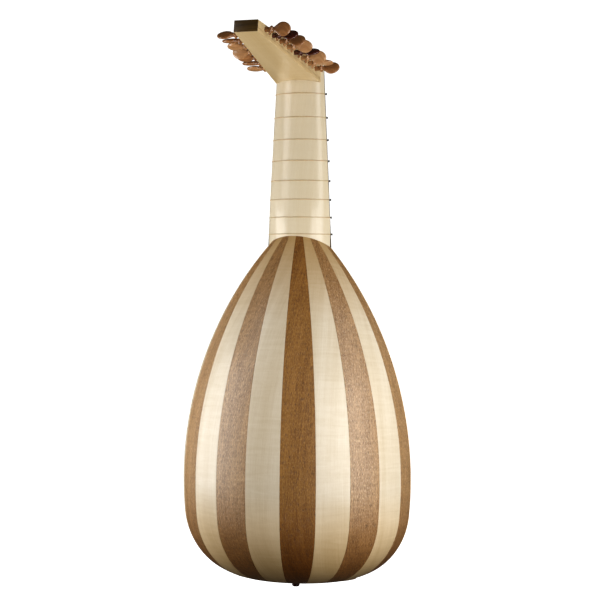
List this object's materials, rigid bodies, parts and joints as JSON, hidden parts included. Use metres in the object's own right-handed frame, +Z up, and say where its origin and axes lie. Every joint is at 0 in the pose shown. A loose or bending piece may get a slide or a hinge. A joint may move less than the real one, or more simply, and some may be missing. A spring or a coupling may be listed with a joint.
{
  "type": "lute",
  "caption": "Eight-course lute with a striped rib-built bowl, carved rose, tied gut frets and a bent-back pegbox with turning friction pegs.",
  "frame": {"origin": "the spot on the middle of the pegbox back where a wall hanger carries the lute", "axes": "+Z up the neck from the tail, +Y out of the back of the bowl, +X towards the treble side; the soundboard faces -Y"},
  "size_m": [0.3162, 0.2133, 0.7354],
  "materials": {
    "maple": "satin varnish over pale maple with faint figure",
    "walnut": "satin varnish over walnut with fine dark pores",
    "neck_maple": "satin cream maple",
    "spruce": "matt fine-grained spruce",
    "plum": "polished plum wood",
    "dark_veneer": "satin dark brown veneer",
    "bone": "polished bone",
    "gut": "translucent twisted gut"
  },
  "bodies": {
    "root": {"pegbox_bass_cheek": "neck_maple", "pegbox_treble_cheek": "neck_maple", "pegbox_back": "neck_maple", "pegbox_end_block": "neck_maple", "pegbox_end_veneer": "dark_veneer", "rib_1": "walnut", "rib_2": "maple", "rib_3": "walnut", "rib_4": "maple", "rib_5": "walnut", "rib_6": "maple", "rib_7": "walnut", "rib_8": "maple", "rib_9": "walnut", "rib_10": "maple", "rib_11": "walnut", "neck_block": "spruce", "end_clasp": "walnut", "tail_liner": "spruce", "end_button": "plum", "soundboard": "spruce", "bar_1": "spruce", "bar_2": "spruce", "bar_3": "spruce", "bar_4": "spruce", "bridge": "plum", "neck": "neck_maple", "fingerboard": "dark_veneer", "nut": "bone", "fret_1": "gut", "fret_2": "gut", "fret_3": "gut", "fret_4": "gut", "fret_5": "gut", "fret_6": "gut", "fret_7": "gut", "fret_8": "gut", "course_1": "gut", "course_2": "gut", "course_3": "gut", "course_4": "gut", "course_5": "gut", "course_6": "gut", "course_7": "gut", "course_8": "gut"},
    "peg_bass_1": {"peg_bass_1": "plum"},
    "peg_bass_2": {"peg_bass_2": "plum"},
    "peg_bass_3": {"peg_bass_3": "plum"},
    "peg_bass_4": {"peg_bass_4": "plum"},
    "peg_bass_5": {"peg_bass_5": "plum"},
    "peg_bass_6": {"peg_bass_6": "plum"},
    "peg_bass_7": {"peg_bass_7": "plum"},
    "peg_bass_8": {"peg_bass_8": "plum"},
    "peg_treble_1": {"peg_treble_1": "plum"},
    "peg_treble_2": {"peg_treble_2": "plum"},
    "peg_treble_3": {"peg_treble_3": "plum"},
    "peg_treble_4": {"peg_treble_4": "plum"},
    "peg_treble_5": {"peg_treble_5": "plum"},
    "peg_treble_6": {"peg_treble_6": "plum"},
    "peg_treble_7": {"peg_treble_7": "plum"}
  },
  "joints": [
    {"name": "turn_bass_1", "type": "hinge", "parent": "root", "child": "peg_bass_1", "pos_m": [0, -0.02069, 0.00829], "axis": [-1, 0, 0], "range_deg": [-720, 90]},
    {"name": "turn_bass_2", "type": "hinge", "parent": "root", "child": "peg_bass_2", "pos_m": [0, 0.00129, 0.01262], "axis": [-1, 0, 0], "range_deg": [-720, 90]},
    {"name": "turn_bass_3", "type": "hinge", "parent": "root", "child": "peg_bass_3", "pos_m": [0, 0.02328, 0.01695], "axis": [-1, 0, 0], "range_deg": [-720, 90]},
    {"name": "turn_bass_4", "type": "hinge", "parent": "root", "child": "peg_bass_4", "pos_m": [0, 0.04526, 0.02128], "axis": [-1, 0, 0], "range_deg": [-720, 90]},
    {"name": "turn_bass_5", "type": "hinge", "parent": "root", "child": "peg_bass_5", "pos_m": [0, 0.06725, 0.02561], "axis": [-1, 0, 0], "range_deg": [-720, 90]},
    {"name": "turn_bass_6", "type": "hinge", "parent": "root", "child": "peg_bass_6", "pos_m": [0, 0.08923, 0.02994], "axis": [-1, 0, 0], "range_deg": [-720, 90]},
    {"name": "turn_bass_7", "type": "hinge", "parent": "root", "child": "peg_bass_7", "pos_m": [0, 0.11121, 0.03427], "axis": [-1, 0, 0], "range_deg": [-720, 90]},
    {"name": "turn_bass_8", "type": "hinge", "parent": "root", "child": "peg_bass_8", "pos_m": [0, 0.1332, 0.03861], "axis": [-1, 0, 0], "range_deg": [-720, 90]},
    {"name": "turn_treble_1", "type": "hinge", "parent": "root", "child": "peg_treble_1", "pos_m": [0, -0.00956, 0.00962], "axis": [-1, 0, 0], "range_deg": [-720, 90]},
    {"name": "turn_treble_2", "type": "hinge", "parent": "root", "child": "peg_treble_2", "pos_m": [0, 0.01242, 0.01398], "axis": [-1, 0, 0], "range_deg": [-720, 90]},
    {"name": "turn_treble_3", "type": "hinge", "parent": "root", "child": "peg_treble_3", "pos_m": [0, 0.0344, 0.01835], "axis": [-1, 0, 0], "range_deg": [-720, 90]},
    {"name": "turn_treble_4", "type": "hinge", "parent": "root", "child": "peg_treble_4", "pos_m": [0, 0.05638, 0.02271], "axis": [-1, 0, 0], "range_deg": [-720, 90]},
    {"name": "turn_treble_5", "type": "hinge", "parent": "root", "child": "peg_treble_5", "pos_m": [0, 0.07836, 0.02707], "axis": [-1, 0, 0], "range_deg": [-720, 90]},
    {"name": "turn_treble_6", "type": "hinge", "parent": "root", "child": "peg_treble_6", "pos_m": [0, 0.10034, 0.03144], "axis": [-1, 0, 0], "range_deg": [-720, 90]},
    {"name": "turn_treble_7", "type": "hinge", "parent": "root", "child": "peg_treble_7", "pos_m": [0, 0.12232, 0.0358], "axis": [-1, 0, 0], "range_deg": [-720, 90]}
  ]
}
